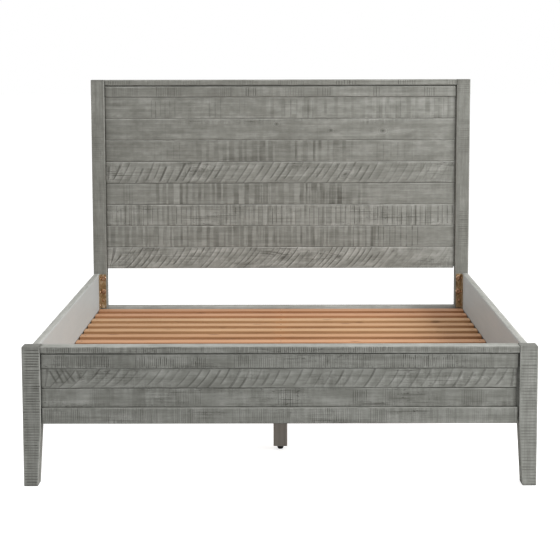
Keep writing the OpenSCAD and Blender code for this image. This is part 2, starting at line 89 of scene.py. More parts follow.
class Shader:
    """A material being built: each method adds nodes and returns the output that carries the result."""

    def __init__(self, name, **inputs):
        self.material = bpy.data.materials.new(name)
        self.material.use_nodes = True
        self.tree = self.material.node_tree
        self.surface = self.tree.nodes["Principled BSDF"]
        self.finish(**inputs)

    def finish(self, **inputs):
        """Sets the shader's inputs, named in lower case with underscores."""
        names = {i.name.lower().replace(" ", "_"): i for i in self.surface.inputs}
        for key, value in inputs.items():
            self.feed(names[key], value)
        return self.material

    def add(self, kind, inputs=(), **settings):
        node = self.tree.nodes.new("ShaderNode" + kind)
        for key, value in settings.items():
            setattr(node, key, value)
        for key, value in dict(inputs).items():
            self.feed(node.inputs[key], value)
        return node

    def feed(self, socket, value):
        if isinstance(value, bpy.types.NodeSocket):
            self.tree.links.new(value, socket)
        else:
            socket.default_value = value

    def vector(self, operation, a, b):
        """A vector operation on a and b. A single value goes to the Scale input."""
        scale = isinstance(b, bpy.types.NodeSocket) and b.type == "VALUE"
        return self.add("VectorMath", {0: a, 3 if scale else 1: b}, operation=operation).outputs[0]

    def places(self, scale, shift=None):
        """The object's own coordinates times scale, after a shift."""
        where = self.add("TexCoord").outputs["Object"]
        if shift is not None:
            where = self.vector("ADD", where, shift)
        return self.vector("MULTIPLY", where, scale)

    def seeded(self, flow_axis=None):
        """A shift that moves each piece to its own part of the noise, and bends the grain round knots."""
        shift = self.vector("SCALE", SEED_STEP, self.attribute("seed", "OBJECT"))
        if flow_axis is None:
            return shift
        across = tuple(float(axis == flow_axis) for axis in "XYZ")
        return self.vector("ADD", shift, self.vector("SCALE", across, self.attribute("flow")))

    def noise(self, where, detail=2.0, roughness=0.5, distortion=0.0):
        """Noise round 0, mostly between -0.5 and 0.5."""
        texture = {"Detail": detail, "Roughness": roughness, "Distortion": distortion}
        node = self.add("TexNoise", {"Vector": where, "Scale": 1.0, **texture})
        return self.plus(node.outputs["Fac"], -0.5)

    def attribute(self, name, of="GEOMETRY"):
        return self.add("Attribute", attribute_name=name, attribute_type=of).outputs["Fac"]

    def plus(self, a, b):
        return self.add("Math", {0: a, 1: b}, operation="ADD").outputs[0]

    def times(self, a, b):
        return self.add("Math", {0: a, 1: b}, operation="MULTIPLY").outputs[0]

    def total(self, *terms):
        """The sum of value times weight over the terms."""
        result = None
        for value, weight in terms:
            term = self.times(value, weight)
            result = term if result is None else self.plus(result, term)
        return result

    def between(self, value, low, high, to_low=0.0, to_high=1.0):
        """The value carried smoothly from low..high to to_low..to_high."""
        node = self.add(
            "MapRange",
            {"Value": value, "From Min": low, "From Max": high, "To Min": to_low, "To Max": to_high},
            interpolation_type="SMOOTHSTEP",
        )
        return node.outputs["Result"]

    def ramp(self, value, *stops):
        node = self.add("ValToRGB", {"Fac": value})
        ramp = node.color_ramp
        while len(ramp.elements) < len(stops):
            ramp.elements.new(1.0)
        for element, (place, colour) in zip(ramp.elements, stops):
            element.position = place
            element.color = (*colour, 1.0)
        return node.outputs["Color"]

    def mix(self, share, a, b):
        node = self.add("Mix", data_type="RGBA")
        self.feed(node.inputs[0], share)
        for socket, colour in ((node.inputs[6], a), (node.inputs[7], b)):
            self.feed(socket, (*colour, 1.0) if isinstance(colour, tuple) else colour)
        return node.outputs[2]

    def bump(self, height, distance):
        return self.add("Bump", {"Height": height, "Distance": distance}).outputs["Normal"]


def stretched(axis, along, across):
    """Scales for the noise: along the grain's axis and across it, in cells per metre."""
    return tuple(along if i == "XYZ".index(axis) else across for i in range(3))


def sawn_wood(axis):
    """Grey weathered wood, rough from the saw. The boards' meshes carry the saw marks as attributes, with
    painted shade in the kerfs, along the seams and at the boards' ends, and painted light after the kerfs,
    along the faces' top edges and towards the right.
    """
    s = Shader("sawn_wood_" + axis.lower(), specular_ior_level=0.25)
    shift = s.seeded("X" if axis == "Z" else "Z")
    streaks = s.noise(s.places(stretched(axis, 2.4, 75), shift), 4, 0.6, 0.5)
    fibres = s.noise(s.places(stretched(axis, 9, 260), shift), 3, 0.65)
    fuzz = s.noise(s.places(stretched(axis, 120, 15), shift), 4, 0.65)
    hairs = s.noise(s.places(stretched(axis, 45, 1100), shift), 2, 0.6)
    patches = s.noise(s.places(stretched(axis, 9, 22), shift), 3, 0.55)
    blots = s.noise(s.places(stretched(axis, 60, 150), shift), 3, 0.6)
    scratches = s.noise(s.places(stretched(axis, 7, 190), shift), 2, 0.5)
    fleck = s.plus(s.between(blots, 0.05, 0.18), s.between(scratches, 0.07, 0.18))
    rough = s.attribute("rough")
    fleck = s.times(fleck, rough)
    coarseness = s.between(rough, 0.0, 0.6, 0.6, 1.4)
    knot = s.attribute("knot")
    knot_rings = s.add("Math", {0: s.times(knot, 26.0)}, operation="SINE").outputs[0]
    tone = s.total(
        (streaks, 0.38),
        (s.times(fibres, coarseness), 0.22),
        (s.times(fuzz, s.between(rough, 0.0, 0.6, 0.22, 1.2)), 0.34),
        (patches, 0.26),
        (s.times(blots, coarseness), 0.20),
        (hairs, 0.24),
        (s.attribute("band"), 0.22),
        (s.times(knot_rings, s.between(knot, 0.05, 0.5)), 0.05),
        (s.attribute("tone", "OBJECT"), 1.0),
    )
    grey = s.ramp(
        s.plus(tone, 0.5),
        (0.12, GREY_DARK),
        (0.44, GREY_MIDDLE),
        (0.60, GREY_LIGHT),
        (0.92, GREY_BARE),
    )
    flecked = s.mix(s.times(fleck, 0.62), grey, GREY_GRIME_AND_SHADE)
    knotted = s.mix(s.between(knot, 0.60, 0.95, 0.0, 0.60), flecked, GREY_GRIME_AND_SHADE)
    ragged = s.total((hairs, 0.9), (fibres, 0.7))
    # The kerfs go dark: partly dirt in them, partly painted shade for their depth
    kerf_grime_and_shade = s.mix(s.times(s.attribute("kerf"), s.plus(ragged, 0.92)), knotted, GREY_GRIME_AND_SHADE)
    # Positive values rub the edges bare; negative ones are painted shade for the dark seam between boards
    wear_and_seam_shade = s.attribute("wear_and_seam_shade")
    rubbed = s.mix(s.between(wear_and_seam_shade, 0.0, 1.0, 0.0, 0.65), kerf_grime_and_shade, GREY_BARE)
    seam_shaded = s.mix(s.between(wear_and_seam_shade, 0.0, -1.0, 0.0, 0.85), rubbed, GREY_GRIME_AND_SHADE)
    height = s.total((hairs, 0.25), (fibres, 0.5), (fuzz, 0.6), (blots, 0.5), (streaks, 0.4), (fleck, -0.3))
    return s.finish(
        base_color=seam_shaded,
        roughness=s.between(tone, -0.3, 0.3, 0.94, 0.78),
        normal=s.bump(height, 0.9 * MM),
    )


def pine(axis, name, tones):
    """Bare pine: soft streaks along the grain, small knots, and painted shade on its sides.

    Each piece's warm property turns it from yellowish to reddish.
    """
    s = Shader(name, specular_ior_level=0.35)
    shift = s.seeded()
    rings = s.noise(s.places(stretched(axis, 1.6, 52), shift), 3, 0.55, 1.2)
    streaks = s.noise(s.places(stretched(axis, 5, 210), shift), 3, 0.6)
    fibres = s.noise(s.places(stretched(axis, 24, 900), shift), 2, 0.6)
    knots = s.add("TexVoronoi", {"Vector": s.places(stretched(axis, 5.2, 13), shift), "Scale": 1.0})
    eye = s.between(knots.outputs["Distance"], 0.055, 0.16, 1.0, 0.0)
    # Painted shade: the sides facing across the grain, such as the slats' front and back edges, are darker,
    # for the shadow they sit in below the tops
    normal = s.add("SeparateXYZ", {0: s.add("NewGeometry").outputs["Normal"]})
    facing = normal.outputs["X" if axis == "Y" else "Y"]
    painted_side_shade = s.between(s.add("Math", {0: facing}, operation="ABSOLUTE").outputs[0], 0.3, 0.9)
    tone = s.total(
        (rings, 0.62),
        (streaks, 0.42),
        (fibres, 0.22),
        (painted_side_shade, -0.10),
        (s.attribute("tone", "OBJECT"), 1.0),
    )
    wood = s.ramp(s.plus(tone, 0.5), *zip((0.15, 0.5, 0.85), tones))
    warm = s.between(s.attribute("warm", "OBJECT"), -1.0, 1.0)
    tint = s.mix(warm, (1.0, 1.02, 0.95), (1.0, 0.90, 0.84))
    shade = s.mix(painted_side_shade, (1.0, 1.0, 1.0), (0.80, 0.72, 0.61))
    tinted = s.vector("MULTIPLY", s.mix(s.times(eye, 0.5), wood, PINE_KNOT), tint)
    return s.finish(
        base_color=s.vector("MULTIPLY", tinted, shade),
        roughness=s.between(tone, -0.3, 0.3, 0.72, 0.55),
        normal=s.bump(s.total((streaks, 0.5), (fibres, 0.7)), 0.35 * MM),
    )


def grey_paint():
    """Smooth grey paint over planed wood, with the grain just showing through.

    Below the slats' tops it is darkened with painted shade, for the shadow in the slots between the slats'
    ends.
    """
    s = Shader("smooth_grey_paint")
    grain = s.noise(s.places((260, 3, 60)), 3, 0.6)
    clouds = s.noise(s.places((4, 2, 7)), 2, 0.5)
    peel = s.noise(s.places((420, 420, 420)), 2, 0.5)
    tone = s.total((grain, 0.10), (clouds, 0.16), (peel, 0.05))
    clean = s.ramp(s.plus(tone, 0.5), *zip((0.3, 0.7), PAINT_TONES))
    height = s.add("SeparateXYZ", {0: s.places((1, 1, 1))}).outputs["Z"]
    uneven = s.total((height, 1.0), (peel, 1 * MM))
    # Painted shade: the paint goes dark just below the slats' tops, for the shadow between the slats' ends
    dust_and_shade = s.between(uneven, SLAT_TOP - 2 * MM, SLAT_TOP + 0.6 * MM, 0.96, 0.0)
    return s.finish(
        base_color=s.mix(dust_and_shade, clean, PAINT_SLOT_SHADE),
        roughness=s.between(tone, -0.1, 0.1, 0.58, 0.45),
        normal=s.bump(s.total((grain, 0.6), (peel, 0.4)), 0.15 * MM),
    )


def dark_stain():
    """Dark grey-brown stain on the centre legs, worn lighter along the grain."""
    s = Shader("dark_stain")
    streaks = s.noise(s.places((120, 120, 4)), 4, 0.6, 0.5)
    fibres = s.noise(s.places((700, 700, 20)), 2, 0.6)
    tone = s.total((streaks, 0.6), (fibres, 0.3))
    return s.finish(
        base_color=s.ramp(s.plus(tone, 0.5), *zip((0.25, 0.75), STAIN_TONES)),
        roughness=s.between(tone, -0.3, 0.3, 0.75, 0.58),
        normal=s.bump(tone, 0.3 * MM),
    )


def plated(name, tones, rough_low, rough_high, cells=38, metallic=0.85):
    """Plated steel: cloudy colour, and a sheen that varies over the surface."""
    s = Shader(name, metallic=metallic)
    clouds = s.noise(s.places((cells, cells, 0.6 * cells)), 4, 0.6, 0.8)
    grains = s.noise(s.places((900, 900, 900)), 2, 0.6)
    tone = s.total((clouds, 1.2), (grains, 0.25))
    return s.finish(
        base_color=s.ramp(s.plus(tone, 0.5), *zip((0.2, 0.5, 0.8), tones)),
        roughness=s.between(tone, -0.4, 0.4, rough_low, rough_high),
        normal=s.bump(grains, 0.06 * MM),
    )


def black_plastic():
    """Moulded black plastic with a fine texture and dust on it."""
    s = Shader("black_plastic")
    grains = s.noise(s.places((1400, 1400, 1400)), 2, 0.6)
    dust_and_shade = s.noise(s.places((90, 90, 60)), 3, 0.6)
    return s.finish(
        base_color=s.ramp(s.plus(dust_and_shade, 0.5), *zip((0.4, 0.8), PLASTIC_TONES)),
        roughness=s.between(dust_and_shade, -0.2, 0.2, 0.42, 0.6),
        normal=s.bump(grains, 0.05 * MM),
    )


sawn = {axis: sawn_wood(axis) for axis in "XYZ"}
slat_pine = pine("X", "slat_pine", PINE_TONES)
support_pine = pine("Y", "support_pine", SUPPORT_TONES)
paint = grey_paint()
stain = dark_stain()
# Its whitish patches are partly the plating's own mottling and partly painted reflection
bracket_zinc = plated("mottled_yellow_zinc", BRACKET_TONES, 0.30, 0.55, 75, 0.6)
bolt_zinc = plated("yellow_zinc", BOLT_TONES, 0.16, 0.32, 120, 0.9)
bright_zinc = plated("bright_zinc", ZINC_TONES, 0.24, 0.40)
plastic = black_plastic()


# ---------- saw marks ----------

# How far kerfs stay from a board's ends
KERF_MARGIN = 4 * MM
# How wide the step from light to dark is at a bar's edge
BAR_EDGE = 4 * MM
# The share of the height over which a kerf's end runs out
KERF_RUN_OUT = 0.06


def eased(share):
    return share * share * (3 - 2 * share)


def noise_2d(places, heights, cell, cell_height, rng):
    """Smooth random values from -1 to 1 over stations by rows; both are in metres."""
    at, up = places / cell, heights / cell_height
    i, j = np.floor(at).astype(int), np.floor(up).astype(int)
    i0, j0 = i - i.min(), j - j.min()
    u, v = eased(at - i)[:, None], eased(up - j)[None, :]
    knots = rng.uniform(-1, 1, (i0.max() + 2, j0.max() + 2))
    near = knots[np.ix_(i0, j0)] * (1 - u) + knots[np.ix_(i0 + 1, j0)] * u
    far = knots[np.ix_(i0, j0 + 1)] * (1 - u) + knots[np.ix_(i0 + 1, j0 + 1)] * u
    return near * (1 - v) + far * v


def noise_1d(places, cell, rng):
    """Smooth random values from -1 to 1 along a line."""
    return noise_2d(places, np.zeros(1), cell, 1.0, rng)[:, 0]


class Marks:
    """The saw marks on one side of a board: kerfs in runs, bars across the grain, and blots.

    pitch: distance between kerfs in a run; run, gap: usual length of a run and of the plain wood
    after it; depth: least and most strength of a run, 0 to 1; half: half a kerf's width; plain:
    the most that kerfs leave bare at the low and high edges, as shares of the height; scallop: how
    much the wood after each kerf catches the light; bar, bars: usual width and strength of the
    bars; over: where the bars start and stop, as shares of the length; blots: strength of the
    blots; rough: how many flecks there are; rough_from: share of the height above which the flecks
    are; ragged: how uneven the kerfs' ends are; fade: share of the length after which the kerfs
    are faint; light: tone added to the whole side; drift: painted light, how much lighter the
    side's end is than its start, for the key light on the right.
    """

    def __init__(self, pitch, run, gap, depth, **more):
        self.pitch, self.run, self.gap, self.depth = pitch, run, gap, depth
        self.half = more.get("half", 2.2 * MM)
        self.plain = more.get("plain", (0.1, 0.1))
        self.scallop = more.get("scallop", 0.0)
        self.bar, self.bars = more.get("bar", 17 * MM), more.get("bars", 0.0)
        self.over = more.get("over", (-0.1, 1.1))
        self.blots = more.get("blots", 0.2)
        self.rough, self.rough_from = more.get("rough", 0.3), more.get("rough_from", -1.0)
        self.ragged, self.fade = more.get("ragged", 0.04), more.get("fade", 1.0)
        self.light, self.painted_light_drift = more.get("light", 0.0), more.get("painted_light_drift", 0.0)

    def kerfs(self, length, rng):
        """The kerfs, one row each: place, half width, strength, lowest and highest share of the height."""
        rows = []
        end = length - KERF_MARGIN
        place = rng.uniform(0, self.gap) + KERF_MARGIN
        while place < end and self.depth[1] > 0:
            stop = min(place + self.run * rng.uniform(0.3, 1.7), end)
            level = rng.uniform(*self.depth)
            step = self.pitch * rng.uniform(0.9, 1.12)
            low, high = (rng.uniform(-0.25, 1.0) * p for p in self.plain)
            high = 1 - high
            while place < stop:
                half = self.half * rng.uniform(0.75, 1.3)
                ends = (low + rng.normal(0, self.ragged), high + rng.normal(0, self.ragged))
                strength = level * rng.uniform(0.55, 1.0) * (1.0 if place < self.fade * length else 0.4)
                rows.append((place, half, strength, *ends))
                place += max(step * rng.uniform(0.85, 1.15), 2.2 * half)
            place += self.gap * rng.uniform(0.2, 1.8)
        return np.array(rows).reshape(-1, 5)

    def bar_line(self, length, rng):
        """The bars' profile along the board: places, and levels that step between light and dark."""
        places, levels = [0.0], [rng.uniform(-1, 1)]
        while self.bars > 0 and places[-1] < length:
            place = places[-1] + self.bar * rng.uniform(0.3, 1.7)
            level = -rng.uniform(0.3, 1.0) if levels[-1] > -0.1 else rng.uniform(0.0, 0.35)
            places += [place, place + min(BAR_EDGE, 0.25 * self.bar)]
            levels += [levels[-1], level]
        return np.array([places, levels])

    def kerf_over(self, places, shares, height, kerfs, rng):
        """The kerfs' strength and the light on the wood after them, stations by rows."""
        kerf, flank = np.zeros((2, len(places), len(shares)))
        if not len(kerfs):
            return kerf, flank
        at, half, level, low, high = kerfs.T
        near = np.clip(2 - 2 * np.abs(places[:, None] - at[None, :]) / half[None, :], 0, 1)
        last = np.clip(np.searchsorted(at, places, side="right") - 1, 0, None)
        past = np.clip(places - at[last] - half[last], 0, None) / (0.4 * self.pitch)
        for j, share in enumerate(shares):
            inside = np.clip(np.minimum(share - low, high - share) / KERF_RUN_OUT, 0, 1)
            strength = inside * level
            kerf[:, j] = (near * strength[None, :]).max(axis=1)
            flank[:, j] = (np.exp(-past) - 0.4) * strength[last]
        patchy = 0.85 + 0.6 * noise_2d(places, shares * height, 0.035, 0.022, rng)
        return kerf * np.clip(patchy, 0.15, 1), flank

    def tone_over(self, places, shares, height, length, line, rng):
        """The tone of the bars, the blots and the edge that catches the light, stations by rows."""
        rows = shares * height
        wobble = 1.3 * MM * noise_2d(places, rows, 0.05, 0.03, rng)
        level = np.clip(0.75 + 0.7 * noise_2d(places, rows, 2 * self.bar, 0.04, rng), 0, 1.3)
        to_stop = np.minimum(places - self.over[0] * length, self.over[1] * length - places)
        level *= np.clip((to_stop + 0.05) / 0.1, 0.12, 1)[:, None]
        bars = np.interp(places[:, None] + wobble, *line) * level
        blots = 0.8 * noise_2d(places, rows, 0.045, 0.020, rng)
        blots += 0.6 * noise_2d(places, rows, 0.014, 0.012, rng)
        upper = np.clip((shares - 0.94) / 0.06, 0, 1)
        lit = upper[None, :] * np.clip(0.4 + noise_1d(places, 0.12, rng), 0, 1)[:, None]
        # Painted light: the side gets lighter towards its +X end, the right, where the key light is
        base = self.light + self.painted_light_drift * (places / length - 0.5)[:, None]
        return self.bars * bars + self.blots * blots + 0.7 * lit + base

    def rough_over(self, places, shares, height, rng):
        """How thick the flecks are, 0 to 1, stations by rows."""
        crowd = 0.35 + 0.9 * noise_2d(places, shares * height, 0.13, 0.035, rng)
        above = np.clip((shares - self.rough_from) / 0.1, 0, 1)
        return np.clip(crowd, 0, 1) * self.rough * above[None, :]


PLAIN = Marks(9 * MM, 0.1, 0.1, (0, 0), blots=0.1, rough=0.0)
TOP_FACE = Marks(9 * MM, 0.1, 0.1, (0, 0), blots=0.25, rough=0.2, light=0.55)
RAIL_TOP = Marks(9 * MM, 0.1, 0.1, (0, 0), blots=0.3, rough=0.1, light=1.0)
LIGHT_FACE = Marks(9 * MM, 0.1, 0.1, (0, 0), blots=0.3, rough=0.3, light=1.3)
CAP = Marks(11 * MM, 0.09, 0.10, (0.3, 1.0), half=2.6 * MM, plain=(0, 0), bar=12 * MM, bars=0.2, painted_light_drift=0.7)
RAIL = Marks(10 * MM, 0.07, 0.11, (0.2, 0.7), half=2.4 * MM, plain=(0, 0), bar=12 * MM, bars=0.2, painted_light_drift=0.5)
PLANED = Marks(16 * MM, 0.05, 0.45, (0.10, 0.45), bar=30 * MM, bars=0.15, blots=0.3)
BROAD = Marks(27 * MM, 0.20, 0.16, (0.2, 0.7), half=2.8 * MM, bars=0.6)
FOOT_MOTTLED = Marks(
    7 * MM,
    0.06,
    0.16,
    (0.2, 0.7),
    bar=40 * MM,
    bars=0.3,
    blots=0.35,
    rough=1.0,
    scallop=0.6,
)
FOOT_FINE = Marks(
    6.2 * MM,
    0.14,
    0.05,
    (0.3, 1.0),
    half=1.9 * MM,
    plain=(0.0, 0.1),
    ragged=0.14,
    scallop=0.9,
    bar=9 * MM,
    bars=0.3,
    rough=0.9,
)
SIDE_FACE = Marks(8.5 * MM, 0.18, 0.07, (0.3, 0.9), bars=0.2)


def slanted(pitch, **more):
    """Long runs of strong kerfs, each with a light flank; the board's slant leans them over."""
    return Marks(pitch, 3.0, 0.02, (0.5, 0.9), plain=(0.04, 0.04), scallop=1.4, **more)


def post_marks(strong, faint, inner_high, run=0.50, gap=0.01):
    """A post's front: close kerfs that stop short of its inner edge.

    strong, faint: the most and least strength of a run; inner_high: whether the inner edge is the
    one towards +X.
    """
    bare = (0.02, 0.24) if inner_high else (0.24, 0.02)
    return Marks(8.8 * MM, run, gap, (faint, strong), half=2.7 * MM, plain=bare, bars=0.1)


# ---------- boards ----------

# For a board along X, Y or Z: the axes that its length, depth and height are on
BOARD_AXES = {"X": (0, 1, 2), "Y": (1, 0, 2), "Z": (2, 1, 0)}

# The long edges' radius, and how many steps go round it
EASE = 2.0 * MM
EASE_STEPS = 3

# How deep the marks go
KERF_DEPTH = 0.6 * MM
BAR_DEPTH = 0.18 * MM
KNOT_DEPTH = 0.3 * MM
CHIP_DEPTH = 0.5 * MM

# The rings' usual distance, their distance at knots and crossing kerfs, and the least one
RING_STEP = 8 * MM
KNOT_STEP = 2.5 * MM
CROSSING_STEP = 1.5 * MM
LEAST_STEP = 0.5 * MM
# Where the rings of a rounded end are, and how far from the end the others stay
END_RINGS = np.array([0.0, 0.25, 0.7, 1.5]) * MM
PAST_END_RINGS = 2.2 * MM
# How far from a knot's middle the rings are close
KNOT_REACH = 34 * MM

# Half a crossing kerf's width, and the length over which its ends fade
CROSSING_HALF = 1.6 * MM
CROSSING_FADE = 11 * MM
# How far from a board's end its kerfs lean over in full
LEAN_IN = 0.06
# How dark the painted shade at the boards' ends is, where they meet the posts, and how far it goes in
END_SHADE = 0.5
END_SHADE_REACH = 7 * MM
# Added to a board's seed for the draws that vary the wear and the painted seam shade along its edges
WEAR_AND_SHADE_SEED = 900
SHARP_ANGLE = math.radians(38)


def side_points(start, stop, count, normal, side, backwards=False):
    """Points along one straight side of a section: depth, height, normal, side, share of the side, and the
    corners' wear and painted seam shade.
    """
    start, stop = np.array(start), np.array(stop)
    points = []
    for t in np.linspace(0, 1, count):
        points.append((*(start * (1 - t) + stop * t), *normal, side, 1 - t if backwards else t, 0.0))
    return points


def corner(centre, turn, wear):
    """The points of a rounded corner, without its two ends. turn is the angle it starts at."""
    points = []
    for k in range(1, EASE_STEPS):
        a = turn - math.pi / 2 * k / EASE_STEPS
        n = (math.cos(a), math.sin(a))
        points.append((centre[0] + EASE * n[0], centre[1] + EASE * n[1], *n, JOINT, 0.5, wear))
    return points


def edge_points(start, stop, height, up, count, side, joint):
    """A section's top or bottom edge, with a tongue standing on it or a groove cut in it."""
    if joint is None:
        return side_points((start, height), (stop, height), count, (0, up), side)
    near, far = joint[:2] if start < stop else joint[1::-1]
    reach = height + joint[2]
    half = max(2, count // 2)
    points = side_points((start, height), (near, height), half, (0, up), side)
    points += [(near, reach, 0, 0, JOINT, 0.5, 0.0), (far, reach, 0, 0, JOINT, 0.5, 0.0)]
    return points + side_points((far, height), (stop, height), half, (0, up), side)


def board_section(low, high, counts, tongue, groove, wear):
    """A board's section in depth and height, from the foot of its front up and round.

    tongue and groove are (lowest depth, highest depth, height) on the top and bottom edges.
    The last argument says how the corners at the top and at the bottom look: 1 rubbed bare, -1 darkened by
    painted shade, for the shadowed seam between boards.
    """
    (d0, h0), (d1, h1) = low, high
    quarter = math.pi / 2
    points = side_points((d0, h0 + EASE), (d0, h1 - EASE), counts[FRONT], (-1, 0), FRONT)
    points += corner((d0 + EASE, h1 - EASE), 2 * quarter, wear[0])
    points += edge_points(d0 + EASE, d1 - EASE, h1, 1, counts[TOP], TOP, tongue)
    points += corner((d1 - EASE, h1 - EASE), quarter, wear[0])
    points += side_points((d1, h1 - EASE), (d1, h0 + EASE), counts[BACK], (1, 0), BACK, backwards=True)
    points += corner((d1 - EASE, h0 + EASE), 0, wear[1])
    points += edge_points(d1 - EASE, d0 + EASE, h0, -1, counts[BOTTOM], BOTTOM, groove)
    points += corner((d0 + EASE, h0 + EASE), -quarter, wear[1])
    return np.array(points)


def ring_mesh(name, rings):
    """A closed mesh through rings of points: stations by points by 3."""
    stations, count = rings.shape[:2]
    index = np.arange(stations * count).reshape(stations, count)
    after = np.roll(index, -1, axis=1)
    quads = np.stack([index[:-1], index[1:], after[1:], after[:-1]], axis=-1).reshape(-1, 4)
    flat = rings.reshape(-1, 3)
    a, b, c = (flat[quads[:, k]] - flat[0] for k in (0, 1, 2))
    ends = [index[0], index[-1][::-1]]
    if np.einsum("ij,ij->i", a, np.cross(b, c)).sum() < 0:
        quads = quads[:, ::-1]
    else:
        ends = [end[::-1] for end in ends]
    mesh = bpy.data.meshes.new(name)
    mesh.from_pydata(flat.tolist(), [], quads.tolist() + [end.tolist() for end in ends])
    return mesh


def crossing_kerfs(along, rise, crossing, rng):
    """Thin kerfs that lean the other way. crossing: where they start and stop, their pitch and slope."""
    start, stop, pitch, slope = crossing
    kerf = np.zeros(along.shape)
    for centre in np.arange(start, stop, pitch):
        lean = slope * rng.uniform(0.6, 1.3)
        off = np.abs(along + lean * rise - centre - 0.3 * pitch * rng.uniform(-1, 1))
        inside = np.clip(2.5 - np.abs(rise - rng.uniform(-6, 10) * MM) / CROSSING_FADE, 0, 1)
        kerf = np.maximum(kerf, rng.uniform(0.5, 1.0) * inside * np.clip(2 - off / CROSSING_HALF, 0, 1))
    return kerf


def stations_for(length, kerfs, line, knots, crossing):
    """Where the rings go: evenly, at the rounded ends, at the edges of kerfs and bars, close at knots."""
    places = [np.arange(RING_STEP, length, RING_STEP), line[0]]
    places += [k[:, 0] + side * k[:, 1] for k in kerfs for side in (-1, -0.5, 0.5, 1)]
    places += [knot[0] + np.arange(-KNOT_REACH, KNOT_REACH, KNOT_STEP) for knot in knots]
    if crossing:
        places.append(np.arange(0, crossing[1], CROSSING_STEP))
    inner = np.sort(np.concatenate(places))
    inner = inner[(inner > PAST_END_RINGS) & (inner < length - PAST_END_RINGS)]
    kept = [inner[0]]
    for place in inner[1:]:
        if place - kept[-1] > LEAST_STEP:
            kept.append(place)
    return np.concatenate([END_RINGS, kept, length - END_RINGS[::-1]])


def block_mesh(name, low, high):
    """A plain block between two corners."""
    ring = [(low[1], low[2]), (low[1], high[2]), (high[1], high[2]), (high[1], low[2])]
    return ring_mesh(name, np.array([[(x, y, z) for y, z in ring] for x in (low[0], high[0])]))


def join_blocks(mesh, blocks):
    """Adds closed blocks to a board's mesh."""
    if not blocks:
        return
    shell = bmesh.new()
    shell.from_mesh(mesh)
    for block in blocks:
        shell.from_mesh(block)
        bpy.data.meshes.remove(block)
    shell.to_mesh(mesh)
    shell.free()


def knot_marks(knots, places, heights, tall, sides):
    """The knots, 0 to 1, and how far the grain bends round them, stations by points."""
    knot, flow = np.zeros((2, len(places), len(sides)))
    facing = (sides == FRONT) | (sides == JOINT)
    for place, share, radius in knots:
        aside, above = places[:, None] - place, heights[None, :] - share * tall
        far = np.hypot(aside * 0.8, above) / (2.6 * radius)
        knot = np.maximum(knot, np.clip(1 - far, 0, 1) * facing)
        near = np.exp(-((np.hypot(aside * 0.5, above) / (1.6 * radius)) ** 2))
        flow += 0.9 * radius * np.sign(above) * near * facing
    return knot, flow


def paint_sides(mesh, painted, sides, rounded, stations):
    """Puts smooth paint on a board's painted sides and the rounded edges beside them."""
    mesh.materials.append(paint)
    smooth = np.isin(sides, painted)
    for _ in range(1, EASE_STEPS):
        smooth |= rounded & (np.roll(smooth, 1) | np.roll(smooth, -1))
    across = (smooth & np.roll(smooth, -1)).astype(np.int32)
    ends = len(mesh.polygons) - (stations - 1) * len(sides)
    index = np.concatenate([np.tile(across, stations - 1), np.zeros(ends, int)])
    mesh.polygons.foreach_set("material_index", index)


